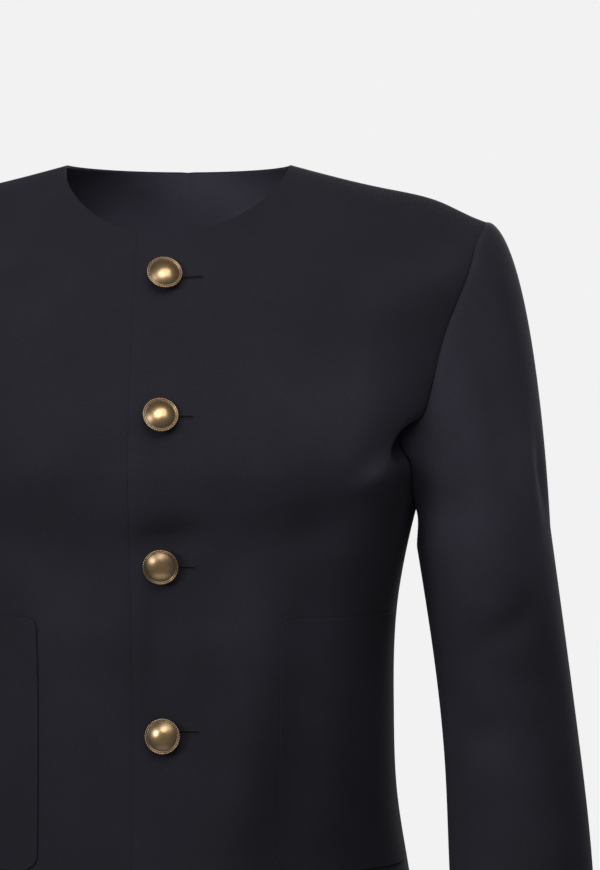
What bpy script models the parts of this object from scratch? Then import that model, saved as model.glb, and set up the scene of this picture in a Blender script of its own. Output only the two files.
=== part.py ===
"""A cropped, collarless, button-front jacket, hollow as when worn.

Metres, +Z up, the wearer's front towards -Y and the wearer's left towards +X. The origin is
the middle of the line between the two points where the shoulder seams meet the neckline.
"""

import math
from typing import NamedTuple

import bmesh
import bpy
import numpy as np
from mathutils import Matrix, Vector

# Cloth and seams
CLOTH = 0.0020  # shell cloth with its interlining
POCKET_CLOTH = 0.0018
SEAM_GAP = 0.0003
POCKET_GAP = 0.0005  # under a patch pocket, whose facets cut a little inside its curve
LAP = 0.0170  # each front reaches this far past the centre line
LAP_LIFT = 0.0012  # the upper front rises and the lower one sinks this much where they lap
LAP_FADE = 0.045  # over this width beyond the lap

# Mesh of the panels
HEM_ROWS = 3
POCKET_ROWS = 7
SIDE_ROWS = 3
ARMHOLE_ROWS = 12
SHOULDER_ROWS = 5
PLACKET_COLUMNS = 4
POCKET_COLUMNS = 7
BACK_COLUMNS = 11
CAP_RINGS = 9
ARM_RINGS = 12
BUTTON_SIDES = 28

# Stations up the torso: hem 0, underarm 1, shoulder point 2, neckline 3
UNDERARM = 1.0
SHOULDER_POINT = 2.0
NECKLINE = 3.0


class Section(NamedTuple):
    """One line round the torso: its heights at side, front and back, and its half width and depths."""

    name: str
    station: float
    side_z: float
    front_z: float
    back_z: float
    half_width: float
    front_depth: float
    back_depth: float
    squareness: float
    level_power: float


SECTIONS = (
    Section("hem", 0.00, -0.500, -0.502, -0.500, 0.1515, 0.109, 0.106, 2.30, 1.50),
    Section("high_hip", 0.30, -0.440, -0.441, -0.440, 0.1445, 0.104, 0.098, 2.30, 1.50),
    Section("below_waist", 0.48, -0.392, -0.392, -0.392, 0.1372, 0.100, 0.089, 2.30, 1.50),
    Section("waist", 0.66, -0.338, -0.338, -0.338, 0.1352, 0.098, 0.083, 2.30, 1.50),
    Section("ribs", 0.82, -0.278, -0.278, -0.278, 0.1370, 0.104, 0.088, 2.30, 1.50),
    Section("underarm", 1.00, -0.215, -0.215, -0.215, 0.1490, 0.117, 0.097, 2.35, 1.50),
    Section("low_armhole", 1.25, -0.176, -0.182, -0.180, 0.1640, 0.1215, 0.102, 2.35, 1.50),
    Section("mid_armhole", 1.50, -0.130, -0.155, -0.148, 0.1850, 0.117, 0.104, 2.25, 1.50),
    Section("high_armhole", 1.78, -0.074, -0.124, -0.108, 0.2010, 0.107, 0.101, 2.10, 1.45),
    Section("shoulder_cap", 1.93, -0.0405, -0.105, -0.084, 0.2020, 0.100, 0.0955, 2.05, 1.40),
    Section("shoulder_point", 2.00, -0.0355, -0.097, -0.075, 0.1926, 0.097, 0.0925, 2.00, 1.40),
    Section("outer_shoulder", 2.22, -0.0232, -0.0850, -0.056, 0.1650, 0.0915, 0.085, 2.00, 1.35),
    Section("mid_shoulder", 2.50, -0.0147, -0.0690, -0.034, 0.1310, 0.085, 0.075, 2.00, 1.30),
    Section("neckline", 3.00, 0.0, -0.0437, -0.0038, 0.0703, 0.0725, 0.056, 2.00, 1.25),
)

# Bust fullness of the fronts
BUST_OUT = 0.0075
BUST_X = 0.088
BUST_Z = -0.178
BUST_SPREAD_X = 0.050
BUST_SPREAD_Z = 0.050

# Armhole and side seam: how far they lie in front of, or behind, the shoulder line
ARMHOLE_FRONT = 0.0640
ARMHOLE_BACK = 0.058
ARMHOLE_ROUNDNESS = 0.36  # below 0.5 is squarer than an ellipse
SIDE_SEAM_BACK = 0.018

# Patch pockets
POCKET_TOP = -0.278
POCKET_BOTTOM = -0.433
POCKET_INNER_X = 0.0765
POCKET_OUTER_Y = -0.008
POCKET_CORNER = 0.0022  # how far the corners are cut back


class Fold(NamedTuple):
    """A soft trough, or a ridge where the depth is negative: its middle, its run and its size."""

    name: str
    x: float
    y: float
    z: float
    run_x: float
    run_y: float
    run_z: float
    half_length: float
    half_width: float
    depth: float


TORSO_FOLDS = (
    Fold("left_armpit", 0.142, -0.078, -0.176, -0.62, 0.0, -0.30, 0.022, 0.011, 0.0045),
    Fold("left_armpit_roll", 0.136, -0.088, -0.196, -0.70, 0.0, -0.20, 0.026, 0.010, -0.0022),
    Fold("right_armpit", -0.142, -0.078, -0.180, 0.62, 0.0, -0.34, 0.024, 0.012, 0.0040),
    Fold("left_under_bust", 0.098, -0.100, -0.212, 0.95, 0.2, 0.10, 0.055, 0.020, 0.0022),
    Fold("right_under_bust", -0.094, -0.104, -0.216, 0.95, 0.0, -0.12, 0.050, 0.020, 0.0020),
    Fold("left_back_armpit", 0.140, 0.078, -0.185, -0.60, 0.1, -0.40, 0.026, 0.013, 0.0030),
    Fold("right_back_armpit", -0.141, 0.078, -0.178, 0.55, 0.1, -0.50, 0.024, 0.013, 0.0034),
    Fold("left_back_waist", 0.090, 0.078, -0.345, 0.90, 0.1, -0.15, 0.050, 0.016, 0.0022),
    Fold("right_back_waist", -0.082, 0.080, -0.352, 0.90, 0.1, 0.20, 0.046, 0.017, 0.0024),
)
SLEEVE_FOLDS = (
    Fold("inner_elbow", 0.190, -0.047, -0.352, 0.80, 0.3, 0.30, 0.032, 0.012, 0.0030),
    Fold("elbow_above", 0.214, -0.050, -0.318, 0.80, 0.3, -0.25, 0.030, 0.011, 0.0022),
    Fold("elbow_below", 0.203, -0.055, -0.398, 0.85, 0.3, -0.20, 0.032, 0.013, 0.0022),
    Fold("under_head", 0.176, -0.060, -0.222, 0.30, -0.2, 0.85, 0.030, 0.012, 0.0026),
    Fold("elbow_point", 0.215, 0.058, -0.372, 0.70, 0.0, 0.30, 0.030, 0.012, 0.0022),
)


class ArmSection(NamedTuple):
    """One section of the sleeve below the armhole: its centre and its half sizes across and front to back."""

    name: str
    station: float
    x: float
    y: float
    z: float
    half_breadth: float
    half_depth: float


ARM = (
    ArmSection("biceps", 0.00, 0.1914, 0.002, -0.232, 0.0420, 0.060),
    ArmSection("above_elbow", 0.20, 0.2007, 0.006, -0.297, 0.0415, 0.0575),
    ArmSection("elbow", 0.42, 0.2095, 0.005, -0.370, 0.0425, 0.054),
    ArmSection("forearm", 0.66, 0.2165, -0.010, -0.455, 0.0447, 0.050),
    ArmSection("low_forearm", 0.85, 0.2220, -0.027, -0.545, 0.0430, 0.0465),
    ArmSection("cuff", 1.00, 0.2265, -0.042, -0.625, 0.0410, 0.0440),
)
CAP_REACH_TOP = 0.066  # how strongly the sleeve head pushes out of the armhole seam
CAP_REACH_SIDE = 0.036
CAP_REACH_UNDER = 0.018
CAP_DROP_TOP = 0.262  # how strongly it arrives at the biceps
CAP_DROP_SIDE = 0.120
CAP_DROP_UNDER = 0.022
CAP_DROP_LEAN = 0.35  # share of the arm's lean with which it arrives
CAP_TURN_TOP = math.radians(15.0)  # turn at the seam, from the torso's surface outward
CAP_TURN_UNDER = math.radians(122.0)


class ButtonPlace(NamedTuple):
    """Where one button sits on the centre front, and how it leans from the cloth below it."""

    name: str
    x: float
    z: float
    lean_left: float
    lean_up: float


BUTTONS = (
    ButtonPlace("button_1", 0.0010, -0.0697, 12.0, 8.0),
    ButtonPlace("button_2", 0.0022, -0.1546, 12.0, 10.0),
    ButtonPlace("button_3", 0.0018, -0.2440, 3.0, 0.0),
    ButtonPlace("button_4", 0.0018, -0.3490, -3.0, 3.0),
    ButtonPlace("button_5", 0.0018, -0.4520, 2.0, 2.0),
)
BUTTON_RADIUS = 0.0110
BUTTON_CLEAR = 0.0004  # between the cloth and the foot of the shank
FOOT_RADIUS = 0.0014
SHANK_RADIUS = 0.0026
SHANK_HEIGHT = 0.0030
RIM_HEIGHT = 0.0016
DOME_SHARE = 0.80  # of the radius
DOME_RISE = 0.0026


def cubic_splines(rows, columns):
    """Natural cubic splines through the named columns of a table, as one function of its station."""
    knots = np.array([row.station for row in rows])
    values = np.array([[getattr(row, column) for column in columns] for row in rows])
    count = len(knots)
    steps = np.diff(knots)
    slopes = np.diff(values, axis=0) / steps[:, None]
    system = np.eye(count)
    right = np.zeros_like(values)
    for i in range(1, count - 1):
        system[i, i - 1 : i + 2] = steps[i - 1], 2 * (steps[i - 1] + steps[i]), steps[i]
        right[i] = 6 * (slopes[i] - slopes[i - 1])
    bends = np.linalg.solve(system, right)

    def at(station):
        station = np.asarray(station, float)
        i = np.clip(np.searchsorted(knots, station, side="right") - 1, 0, count - 2)
        step = steps[i]
        low = ((knots[i + 1] - station) / step)[..., None]
        high = 1 - low
        curve = (low**3 - low) * bends[i] + (high**3 - high) * bends[i + 1]
        found = low * values[i] + high * values[i + 1] + curve * (step**2 / 6)[..., None]
        return np.moveaxis(found, -1, 0)

    return at


torso_columns = cubic_splines(SECTIONS, Section._fields[2:])
arm_columns = cubic_splines(ARM, ArmSection._fields[2:])


def bell(distance):
    """A smooth bump, 1 at the middle."""
    return np.exp(-(distance**2))


def fade(share):
    """0 below 0, 1 above 1, smooth between."""
    share = np.clip(share, 0.0, 1.0)
    return share * share * (3 - 2 * share)


def torso_form(angle, station):
    """Points of the torso's outside. The angle is 0 at the centre front, 90 degrees at the left side."""
    columns = torso_columns(station)
    side_z, front_z, back_z, half_width, front_depth, back_depth, square, power = columns
    cosine, sine = np.cos(angle), np.sin(angle)
    reach = (np.abs(cosine) ** square + np.abs(sine) ** square) ** (-1 / square)
    across, along = reach * sine, reach * cosine
    is_front = along > 0
    level = np.where(is_front, front_z, back_z)
    x = half_width * across
    y = -np.where(is_front, front_depth, back_depth) * along
    z = side_z + (level - side_z) * np.abs(along) ** power
    bust = bell((np.abs(x) - BUST_X) / BUST_SPREAD_X) * bell((z - BUST_Z) / BUST_SPREAD_Z)
    y = y - BUST_OUT * bust * np.where(is_front, along, 0.0)
    return np.stack([x, y, z], axis=-1)


def unit(vectors):
    """The vectors, one unit long."""
    return vectors / np.linalg.norm(vectors, axis=-1, keepdims=True)


def torso_normal(angle, station):
    """Outward normals of the torso."""
    step = 1e-4
    round_it = torso_form(angle + step, station) - torso_form(angle - step, station)
    up_it = torso_form(angle, station + step) - torso_form(angle, station - step)
    return unit(np.cross(round_it, up_it))


def angle_at_x(x, station):
    """The angle at which the front of a section reaches this x."""
    half_width, square = torso_columns(station)[[3, 6]]
    share = x / half_width
    rest = (1 - np.abs(share) ** square) ** (1 / square)
    return np.arctan2(share, rest)


def angle_at_y(y, station):
    """The angle at which a section reaches this far in front of, or behind, the shoulder line."""
    front_depth, back_depth, square = torso_columns(station)[[4, 5, 6]]
    share = -y / np.where(y > 0, back_depth, front_depth)
    rest = (1 - np.abs(share) ** square) ** (1 / square)
    return np.arctan2(rest, share)


def station_at_height(z):
    """The station whose section lies this high at the side."""
    stations = np.linspace(0.0, SHOULDER_POINT, 401)
    return float(np.interp(z, torso_columns(stations)[0], stations))


def seam_y(station, at_back):
    """Where a front or back ends: at the side seam, the armhole or the shoulder seam."""
    share = np.clip(station - UNDERARM, 0.0, 1.0)
    oval = np.maximum(4 * share * (1 - share), 0.0) ** ARMHOLE_ROUNDNESS
    side = SIDE_SEAM_BACK * (1 - np.minimum(station, UNDERARM) ** 3)
    if at_back:
        return side + np.maximum(ARMHOLE_BACK * oval, SEAM_GAP / 2)
    return side - np.maximum(ARMHOLE_FRONT * oval, SEAM_GAP / 2)


def seam_angle(station):
    """The middle of the side seam or of the shoulder seam."""
    return angle_at_y(SIDE_SEAM_BACK * (1 - np.minimum(station, UNDERARM) ** 3), station)


def panel_stations():
    """The rows of every torso panel at its outer edge, and at the centre where they are even."""
    pocket = [station_at_height(POCKET_BOTTOM), station_at_height(POCKET_TOP)]
    hem = np.linspace(0.0, pocket[0], HEM_ROWS + 1)
    middle = np.linspace(*pocket, POCKET_ROWS + 1)[1:]
    side = np.linspace(pocket[1], UNDERARM, SIDE_ROWS + 1)[1:]
    turn = np.linspace(0.0, math.pi, ARMHOLE_ROWS + 1)[1:]
    shoulder = np.linspace(SHOULDER_POINT, NECKLINE, SHOULDER_ROWS + 1)[1:]
    outer = np.concatenate([hem, middle, side, UNDERARM + (1 - np.cos(turn)) / 2, shoulder])
    inner = np.concatenate([hem, middle, side, UNDERARM + turn / math.pi, shoulder])
    return outer, inner


def folded(points, normals, folds):
    """The points with the soft folds pressed into them."""
    for fold in folds:
        run = unit(np.array(fold[4:7]))
        away = points - np.array(fold[1:4])
        along = away @ run
        across = np.sqrt(np.maximum((away**2).sum(axis=-1) - along**2, 0.0))
        press = bell(along / fold.half_length) * bell(across / fold.half_width)
        points = points - normals * (fold.depth * press)[..., None]
    return points


def lap_shift(x, upper):
    """How far the fronts part where they lap, outward for the upper one."""
    inside = 1 - fade((np.abs(x) - LAP) / LAP_FADE)
    return inside * (LAP_LIFT if upper else -LAP_LIFT)


def panel(angles, rows, side):
    """Outside points of a panel and its normals. Where it is sewn to its neighbour both take the
    normals of the seam's middle, so that their edges stay parallel through the cloth."""
    points = torso_form(angles, rows)
    normals = torso_normal(angles, rows)
    edge = rows[:, -1]
    sewn = (edge <= UNDERARM) | (edge >= SHOULDER_POINT)
    middle = torso_normal(side * seam_angle(edge), edge)
    normals[sewn, -1] = middle[sewn]
    return points, normals


def front_shares(station):
    """The columns of a front, as shares of its width from the lap to its outer edge. Below the
    underarm they follow both edges of the pocket."""
    below = np.minimum(station, station_at_height(POCKET_TOP))
    lap = angle_at_x(LAP, below)
    width = angle_at_y(seam_y(below, at_back=False), below) - lap
    inner = (angle_at_x(POCKET_INNER_X, below) - lap) / width
    outer = (angle_at_y(POCKET_OUTER_Y, below) - lap) / width
    placket = np.linspace(0.0, inner, PLACKET_COLUMNS + 1, axis=-1)
    pocket = np.linspace(inner, outer, POCKET_COLUMNS + 1, axis=-1)[..., 1:]
    return np.concatenate([placket, pocket, np.ones_like(inner)[..., None]], axis=-1)


def front_grid(side, upper):
    """Outside points and normals of one front. Side is 1 for the wearer's left, -1 for the right."""
    outer, inner = panel_stations()
    shares = front_shares(outer)
    rows = inner[:, None] + (outer - inner)[:, None] * shares**2
    lap = angle_at_x(LAP, rows)
    end = angle_at_y(seam_y(outer, at_back=False), outer)
    angles = lap + (end[:, None] - lap) * shares
    lap = lap[:, :1]
    angles = np.column_stack([-lap, np.zeros_like(lap), angles]) * side
    rows = np.column_stack([inner, inner, rows])
    points, normals = panel(angles, rows, side)
    points = points + normals * lap_shift(points[..., 0], upper)[..., None]
    return folded(points, normals, TORSO_FOLDS), normals


def back_grid(side):
    """Outside points and normals of one half of the back."""
    outer, inner = panel_stations()
    shares = np.linspace(0.0, 1.0, BACK_COLUMNS + 1)
    rows = inner[:, None] + (outer - inner)[:, None] * shares**2
    centre = math.pi - SEAM_GAP / 2 / torso_columns(rows)[3]
    end = angle_at_y(seam_y(outer, at_back=True), outer)
    angles = (centre + (end[:, None] - centre) * shares) * side
    points, normals = panel(angles, rows, side)
    return folded(points, normals, TORSO_FOLDS), normals


def pocket_grid(side, upper):
    """Outside points and normals of a patch pocket, moved out from the front below it."""
    points, normals = front_grid(side, upper)
    rows = slice(HEM_ROWS, HEM_ROWS + POCKET_ROWS + 1)
    first = 2 + PLACKET_COLUMNS
    columns = slice(first, first + POCKET_COLUMNS + 1)
    points, normals = points[rows, columns].copy(), normals[rows, columns]
    for row, next_row in ((0, 1), (-1, -2)):
        for column, next_column in ((0, 1), (-1, -2)):
            corner = points[row, column].copy()
            for beside in (points[next_row, column], points[row, next_column]):
                away = beside - corner
                points[row, column] += away * POCKET_CORNER / np.linalg.norm(away)
    return points + normals * (POCKET_GAP + POCKET_CLOTH), normals


def armhole_ring():
    """The left armhole's edge from the shoulder point down the front and up the back, with
    the torso's normals and the directions that lead out of it along the surface."""
    turn = np.linspace(0.0, math.pi, ARMHOLE_ROWS + 1)
    down = UNDERARM + (1 + np.cos(turn)) / 2
    up = down[::-1][1:-1]
    front = angle_at_y(seam_y(down, at_back=False), down)
    front[[0, -1]] = math.pi / 2
    angles = np.concatenate([front, angle_at_y(seam_y(up, at_back=True), up)])
    stations = np.concatenate([down, up])
    points = torso_form(angles, stations)
    normals = torso_normal(angles, stations)
    points = folded(points, normals, TORSO_FOLDS)
    tangents = np.roll(points, -1, axis=0) - np.roll(points, 1, axis=0)
    return points, normals, unit(np.cross(normals, tangents))


def arm_ring(station, turns):
    """Outside points of the left sleeve below the armhole, and its direction down the arm."""
    x, y, z, half_breadth, half_depth = arm_columns(station)
    step = 1e-3
    ahead = np.array(arm_columns(station + step)[:3]) - np.array(arm_columns(station - step)[:3])
    down = ahead / np.linalg.norm(ahead)
    outward = unit(np.array([1.0, 0.0, 0.0]) - down[0] * down)
    forward = np.cross(outward, down)
    forward *= -np.sign(forward[1])
    centre = np.array([x, y, z])
    across = half_breadth * np.cos(turns)[:, None] * outward
    along = half_depth * np.sin(turns)[:, None] * forward
    return centre + across + along, down


def sleeve_rings():
    """Outside points and normals of the left sleeve, from the armhole seam to the cuff."""
    edge, normals, out = armhole_ring()
    count = len(edge)
    turns = np.linspace(0.0, 2 * math.pi, count, endpoint=False)
    under = ((1 - np.cos(turns)) / 2)[:, None]
    sides = (np.sin(turns) ** 2)[:, None]
    turn = CAP_TURN_TOP + (CAP_TURN_UNDER - CAP_TURN_TOP) * under
    start = edge + SEAM_GAP * out
    end, down = arm_ring(0.0, turns)
    reach = CAP_REACH_TOP * (1 - under) + CAP_REACH_UNDER * under
    reach = reach * (1 - sides) + CAP_REACH_SIDE * sides
    drop = CAP_DROP_TOP * (1 - under) + CAP_DROP_UNDER * under
    drop = drop * (1 - sides) + CAP_DROP_SIDE * sides
    leave = (np.cos(turn) * out + np.sin(turn) * normals) * reach
    arrive = unit(down * np.array([CAP_DROP_LEAN, 1.0, 1.0])) * drop
    rings = []
    for share in np.linspace(0.0, 1.0, CAP_RINGS + 1) ** 1.25:
        rings.append(
            (2 * share**3 - 3 * share**2 + 1) * start
            + (share**3 - 2 * share**2 + share) * leave
            + (3 * share**2 - 2 * share**3) * end
            + (share**3 - share**2) * arrive
        )
    for station in np.linspace(0.0, 1.0, ARM_RINGS + 1)[1:]:
        rings.append(arm_ring(station, turns)[0])
    rings = np.array(rings)
    normals = tube_normals(rings)
    return folded(rings, normals, SLEEVE_FOLDS), normals


def tube_normals(rings):
    """Outward normals of rings that close round on themselves."""
    round_it = np.roll(rings, -1, axis=1) - np.roll(rings, 1, axis=1)
    along = np.gradient(rings, axis=0)
    normals = unit(np.cross(along, round_it))
    outward = rings - rings.mean(axis=1, keepdims=True)
    return normals * np.sign((normals * outward).sum(axis=-1).mean())


def wall(name, outside, normals, thickness, colour, roughness, closed=False, mirrored=False):
    """One solid: the outside points, the same points moved in, and the edges between."""
    inside = outside - normals * thickness
    if mirrored:
        outside, inside = (grid * np.array([-1.0, 1.0, 1.0]) for grid in (outside, inside))
    rows, columns = outside.shape[:2]
    mesh = bmesh.new()
    layers = [
        [[mesh.verts.new(point) for point in row] for row in grid] for grid in (outside, inside)
    ]
    skin, lining = layers
    last = columns if closed else columns - 1
    for i in range(rows - 1):
        for j in range(last):
            k = (j + 1) % columns
            mesh.faces.new((skin[i][j], skin[i][k], skin[i + 1][k], skin[i + 1][j]))
            mesh.faces.new((lining[i][j], lining[i + 1][j], lining[i + 1][k], lining[i][k]))
    for j in range(last):
        k = (j + 1) % columns
        mesh.faces.new((skin[0][k], skin[0][j], lining[0][j], lining[0][k]))
        mesh.faces.new((skin[-1][j], skin[-1][k], lining[-1][k], lining[-1][j]))
    if not closed:
        for i in range(rows - 1):
            mesh.faces.new((skin[i][0], skin[i + 1][0], lining[i + 1][0], lining[i][0]))
            mesh.faces.new((skin[i + 1][-1], skin[i][-1], lining[i][-1], lining[i + 1][-1]))
    bmesh.ops.recalc_face_normals(mesh, faces=mesh.faces[:])
    return finished(name, mesh, colour, roughness, 0.0)


def finished(name, mesh, colour, roughness, metallic):
    """The mesh as a named object with its own material."""
    data = bpy.data.meshes.new(name)
    mesh.to_mesh(data)
    mesh.free()
    data.shade_smooth()
    data.set_sharp_from_angle(angle=math.radians(40))
    material = bpy.data.materials.new(name)
    material.use_nodes = True
    shader = material.node_tree.nodes["Principled BSDF"]
    shader.inputs["Base Color"].default_value = (*colour, 1.0)
    shader.inputs["Roughness"].default_value = roughness
    shader.inputs["Metallic"].default_value = metallic
    data.materials.append(material)
    item = bpy.data.objects.new(name, data)
    bpy.context.scene.collection.objects.link(item)
    return item


def front_point(x, z, lift):
    """A point this far above the upper front at this x and height, and the normal there."""
    stations = np.linspace(0.0, NECKLINE, 1501)
    heights = torso_form(np.zeros_like(stations), stations)[:, 2]
    station = np.array(np.interp(z, heights, stations))
    angle = angle_at_x(x, station)
    normal = torso_normal(angle, station)
    return torso_form(angle, station) + normal * (LAP_LIFT + lift), normal


def button(place):
    """A domed button with a rim, turned round its own axis and set over the centre front."""
    lean = math.radians(math.hypot(place.lean_left, place.lean_up))
    foot, normal = front_point(place.x, place.z, BUTTON_CLEAR + FOOT_RADIUS * math.sin(lean))
    rim = SHANK_HEIGHT + RIM_HEIGHT
    dome = DOME_SHARE * BUTTON_RADIUS
    profile = [
        (0.0, 0.0),
        (FOOT_RADIUS, 0.0),
        (SHANK_RADIUS, 0.6 * SHANK_HEIGHT),
        (SHANK_RADIUS, SHANK_HEIGHT),
        (0.94 * BUTTON_RADIUS, SHANK_HEIGHT),
        (BUTTON_RADIUS, SHANK_HEIGHT + 0.4 * RIM_HEIGHT),
        (0.97 * BUTTON_RADIUS, rim),
        (0.88 * BUTTON_RADIUS, rim),
        (dome, rim - 0.35 * RIM_HEIGHT),
        (0.78 * dome, rim + 0.42 * DOME_RISE),
        (0.50 * dome, rim + 0.74 * DOME_RISE),
        (0.22 * dome, rim + 0.90 * DOME_RISE),
        (0.0, rim + 0.93 * DOME_RISE),
    ]
    mesh = bmesh.new()
    points = [mesh.verts.new((radius, 0.0, height)) for radius, height in profile]
    edges = [mesh.edges.new(pair) for pair in zip(points, points[1:])]
    bmesh.ops.spin(
        mesh,
        geom=points + edges,
        axis=(0.0, 0.0, 1.0),
        cent=(0.0, 0.0, 0.0),
        steps=BUTTON_SIDES,
        angle=2 * math.pi,
        use_merge=True,
    )
    bmesh.ops.remove_doubles(mesh, verts=mesh.verts[:], dist=1e-6)
    bmesh.ops.recalc_face_normals(mesh, faces=mesh.faces[:])
    upright = Vector((0.0, 0.0, 1.0)).rotation_difference(Vector(normal)).to_matrix().to_4x4()
    lean_left = Matrix.Rotation(math.radians(place.lean_left), 4, "Z")
    lean_up = Matrix.Rotation(math.radians(-place.lean_up), 4, "X")
    move = Matrix.Translation(foot)
    bmesh.ops.transform(mesh, matrix=move @ lean_left @ lean_up @ upright, verts=mesh.verts[:])
    return finished(place.name, mesh, BRASS, 0.4, 1.0)


NAVY = (0.022, 0.021, 0.028)
BRASS = (0.42, 0.33, 0.19)
CLOTH_ROUGHNESS = 0.9


def main():
    """Clears the scene and builds the jacket."""
    for item in list(bpy.data.objects):
        bpy.data.objects.remove(item)
    for name, side, upper in (("front_left", 1, True), ("front_right", -1, False)):
        points, normals = front_grid(side, upper)
        wall(name, points, normals, CLOTH, NAVY, CLOTH_ROUGHNESS)
    for name, side in (("back_left", 1), ("back_right", -1)):
        points, normals = back_grid(side)
        wall(name, points, normals, CLOTH, NAVY, CLOTH_ROUGHNESS)
    for name, side, upper in (("pocket_left", 1, True), ("pocket_right", -1, False)):
        points, normals = pocket_grid(side, upper)
        wall(name, points, normals, POCKET_CLOTH, NAVY, CLOTH_ROUGHNESS)
    rings, normals = sleeve_rings()
    for name, mirrored in (("sleeve_left", False), ("sleeve_right", True)):
        wall(name, rings, normals, CLOTH, NAVY, CLOTH_ROUGHNESS, closed=True, mirrored=mirrored)
    for place in BUTTONS:
        button(place)


main()
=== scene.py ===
"""Dresses a cropped, collarless, button-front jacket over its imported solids.

Metres, +Z up, the wearer's front towards -Y and the wearer's left towards +X. The origin is the
middle of the line between the two points where the shoulder seams meet the neckline.
"""

import logging
import math
from dataclasses import dataclass, field
from enum import Enum
from typing import Callable, Sequence

import bmesh
import bpy
import numpy as np
from mathutils import Matrix, Vector


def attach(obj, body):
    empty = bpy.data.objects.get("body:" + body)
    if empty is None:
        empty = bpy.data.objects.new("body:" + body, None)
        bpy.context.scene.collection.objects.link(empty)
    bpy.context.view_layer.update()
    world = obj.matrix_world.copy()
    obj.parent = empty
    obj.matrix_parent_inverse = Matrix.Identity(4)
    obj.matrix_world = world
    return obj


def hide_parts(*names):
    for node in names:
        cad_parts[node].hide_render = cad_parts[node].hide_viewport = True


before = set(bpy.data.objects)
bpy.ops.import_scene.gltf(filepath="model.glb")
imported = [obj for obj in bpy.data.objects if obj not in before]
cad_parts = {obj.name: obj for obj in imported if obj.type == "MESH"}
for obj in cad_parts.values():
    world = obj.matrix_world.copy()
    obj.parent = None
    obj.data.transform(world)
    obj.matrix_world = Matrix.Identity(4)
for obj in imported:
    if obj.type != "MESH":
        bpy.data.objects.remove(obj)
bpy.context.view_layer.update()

LOG = logging.getLogger("jacket")

Array = np.ndarray
Pair = tuple[float, float]
Triple = tuple[float, float, float]
Feed = float | tuple | bpy.types.NodeSocket
SAME_POINT = 1e-6  # metres within which two points of a mesh are one
ONE_WAVE = math.pi / 10  # the wave texture's scale at which its period is one unit


class Side(Enum):
    """The wearer's sides."""

    LEFT = 1
    RIGHT = -1


class Layer(Enum):
    """How a front lies where the two fronts lap."""

    UPPER = 1
    LOWER = -1


def unit(vectors: Array) -> Array:
    """The vectors, one unit long."""
    return vectors / np.linalg.norm(vectors, axis=-1, keepdims=True)


def bell(distance: Array) -> Array:
    """A smooth bump, 1 at the middle."""
    return np.exp(-(distance**2))


def fade(share: Array) -> Array:
    """0 below 0, 1 above 1, smooth between."""
    share = np.clip(share, 0.0, 1.0)
    return share * share * (3 - 2 * share)


def closer_at_ends(share: Array, strength: float) -> Array:
    """Spreads even steps so that they lie closer together at both ends.

    Args:
        share: Even steps from 0 to 1.
        strength: 0 leaves them even, 1 makes the end steps vanish.

    Returns:
        The uneven steps from 0 to 1.
    """
    return share - strength * np.sin(2 * math.pi * share) / (2 * math.pi)


@dataclass(frozen=True)
class TorsoSection:
    """One line round the torso: its heights at side, front and back, its half width and depths."""

    name: str
    station: float
    side_z: float
    front_z: float
    back_z: float
    half_width: float
    front_depth: float
    back_depth: float
    squareness: float
    level_power: float


@dataclass(frozen=True)
class ArmSection:
    """One section of the sleeve below the armhole: its centre and half sizes."""

    name: str
    station: float
    x: float
    y: float
    z: float
    half_breadth: float
    half_depth: float


@dataclass(frozen=True)
class Crease:
    """A soft trough, or a ridge where the depth is negative: its middle, its run and its size.

    A steepness of 2 gives soft sides, and a higher one gives steeper sides and a flatter floor.
    """

    name: str
    middle: Triple
    run: Triple
    half_length: float
    half_width: float
    depth: float
    steepness: float = 2.0

    def press(self, points: Array) -> Array:
        """How deep the crease is at each point.

        Args:
            points: Points of the cloth's outside.

        Returns:
            The depth below the smooth form, in metres.
        """
        run = unit(np.array(self.run))
        away = points - np.array(self.middle)
        along = away @ run
        across = np.sqrt(np.maximum((away**2).sum(axis=-1) - along**2, 0.0))
        far = (along / self.half_length) ** 2 + (across / self.half_width) ** 2
        return self.depth * np.exp(-(far ** (self.steepness / 2)))


@dataclass(frozen=True)
class PaintedLightPatch:
    """A soft patch of painted light, or of painted shade where the gain is below 1, multiplied into
    the cloth's colour.
    """

    name: str
    middle: Triple
    radius: float
    gain: float

    def at(self, points: Array) -> Array:
        """How much the painted light or shade lightens or darkens the cloth at each point."""
        away = np.linalg.norm(points - np.array(self.middle), axis=-1)
        return 1 + (self.gain - 1) * bell(away / self.radius)


def pressed(points: Array, normals: Array, creases: Sequence[Crease]) -> Array:
    """The points with the creases pressed into them along the normals."""
    depth = sum((crease.press(points) for crease in creases), np.zeros(points.shape[:-1]))
    return points - normals * depth[..., None]


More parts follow.
